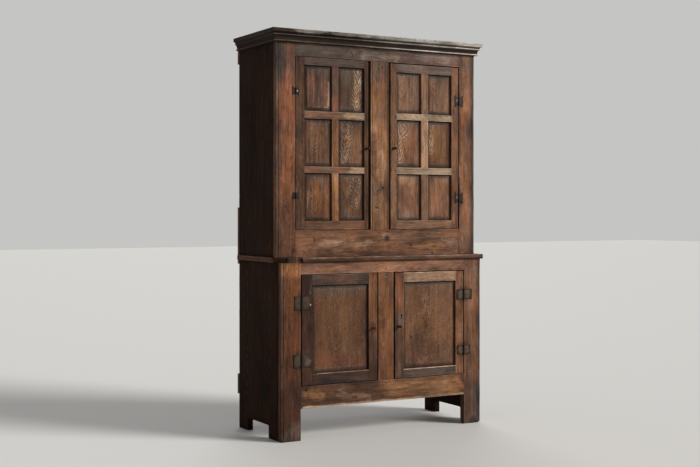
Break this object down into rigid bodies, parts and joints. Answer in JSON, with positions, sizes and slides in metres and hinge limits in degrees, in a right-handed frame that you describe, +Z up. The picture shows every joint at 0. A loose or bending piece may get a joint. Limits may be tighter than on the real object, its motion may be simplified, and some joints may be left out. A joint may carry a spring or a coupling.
{
  "type": "court cupboard",
  "caption": "Two-stage oak court cupboard: panelled doors over plank-framed doors, moulded cornice, waist ledge, boarded sides on cut-out feet, iron hinges, catches and a lock.",
  "frame": {"origin": "on the floor, under the middle of the whole cupboard's box", "axes": "+X to the viewer's right along the front, +Y to the back, +Z up; the doors face -Y"},
  "size_m": [1.28, 0.561, 2.08],
  "materials": {
    "oak_frame": "old waxed oak, worn",
    "oak_door": "old waxed oak, greyed",
    "oak_panel": "old waxed oak, cathedral grain",
    "oak_side": "dark stained oak",
    "oak_cornice": "greyed oak, worn edges",
    "oak_waist": "worn oak",
    "oak_inside": "bare dusty oak",
    "oak_peg": "dark end grain",
    "iron": "dark hand-forged iron"
  },
  "bodies": {
    "case": {"back_battens": "oak_inside", "base_back_boards": "oak_inside", "base_bottom_board": "oak_inside", "base_bottom_rail": "oak_frame", "base_center_muntin": "oak_frame", "base_post_left": "oak_frame", "base_post_right": "oak_frame", "base_shelf": "oak_inside", "base_side_left": "oak_side", "base_side_right": "oak_side", "base_top_rail": "oak_frame", "cornice_front": "oak_cornice", "cornice_left": "oak_cornice", "cornice_right": "oak_cornice", "frame_pegs": "oak_peg", "frieze_rail": "oak_frame", "hinge_frame_leaves": "iron", "hinge_pins": "iron", "shelf_cleats": "oak_inside", "top_board": "oak_waist", "upper_back_boards": "oak_inside", "upper_bottom_board": "oak_inside", "upper_bottom_rail": "oak_frame", "upper_center_muntin": "oak_frame", "upper_post_left": "oak_frame", "upper_post_right": "oak_frame", "upper_shelves": "oak_inside", "upper_side_left": "oak_side", "upper_side_right": "oak_side", "waist_board": "oak_waist", "waist_nosing": "oak_waist"},
    "upper_left_door": {"upper_left_door_hinge_leaves": "iron", "upper_left_door_muntins": "oak_door", "upper_left_door_panels": "oak_panel", "upper_left_door_pegs": "oak_peg", "upper_left_door_rails": "oak_door", "upper_left_door_stiles": "oak_door"},
    "upper_left_catch": {"upper_left_catch": "iron"},
    "upper_right_door": {"upper_right_door_hinge_leaves": "iron", "upper_right_door_muntins": "oak_door", "upper_right_door_panels": "oak_panel", "upper_right_door_pegs": "oak_peg", "upper_right_door_rails": "oak_door", "upper_right_door_stiles": "oak_door"},
    "upper_right_catch": {"upper_right_catch": "iron"},
    "base_left_door": {"base_left_door_hinge_leaves": "iron", "base_left_door_panel": "oak_panel", "base_left_door_pegs": "oak_peg", "base_left_door_rails": "oak_door", "base_left_door_stiles": "oak_door"},
    "base_left_catch": {"base_left_catch": "iron"},
    "base_right_door": {"base_right_door_hinge_leaves": "iron", "base_right_door_panel": "oak_panel", "base_right_door_pegs": "oak_peg", "base_right_door_rails": "oak_door", "base_right_door_stiles": "oak_door", "lock_case": "iron"},
    "base_right_catch": {"base_right_catch": "iron"},
    "lock_bolt": {"lock_bolt": "iron"}
  },
  "joints": [
    {"name": "upper_left_door_swing", "type": "hinge", "parent": "case", "child": "upper_left_door", "pos_m": [-0.4955, -0.1965, 1.5], "axis": [0, 0, -1], "range_deg": [0, 165]},
    {"name": "upper_left_catch_turn", "type": "hinge", "parent": "upper_left_door", "child": "upper_left_catch", "pos_m": [-0.079, -0.1925, 1.484], "axis": [0, -1, 0], "range_deg": [0, 90]},
    {"name": "upper_right_door_swing", "type": "hinge", "parent": "case", "child": "upper_right_door", "pos_m": [0.502, -0.1965, 1.5], "axis": [0, 0, 1], "range_deg": [0, 165]},
    {"name": "upper_right_catch_turn", "type": "hinge", "parent": "upper_right_door", "child": "upper_right_catch", "pos_m": [0.086, -0.1925, 1.489], "axis": [0, 1, 0], "range_deg": [0, 90]},
    {"name": "base_left_door_swing", "type": "hinge", "parent": "case", "child": "base_left_door", "pos_m": [-0.492, -0.2545, 0.555], "axis": [0, 0, -1], "range_deg": [0, 165]},
    {"name": "base_left_catch_turn", "type": "hinge", "parent": "base_left_door", "child": "base_left_catch", "pos_m": [-0.074, -0.2505, 0.549], "axis": [0, -1, 0], "range_deg": [0, 90]},
    {"name": "base_right_door_swing", "type": "hinge", "parent": "case", "child": "base_right_door", "pos_m": [0.495, -0.2545, 0.555], "axis": [0, 0, 1], "range_deg": [0, 165]},
    {"name": "base_right_catch_turn", "type": "hinge", "parent": "base_right_door", "child": "base_right_catch", "pos_m": [0.082, -0.2505, 0.549], "axis": [0, 1, 0], "range_deg": [0, 90]},
    {"name": "lock_bolt_slide", "type": "slide", "parent": "base_right_door", "child": "lock_bolt", "axis": [-1, 0, 0], "range_m": [0, 0.022]}
  ]
}
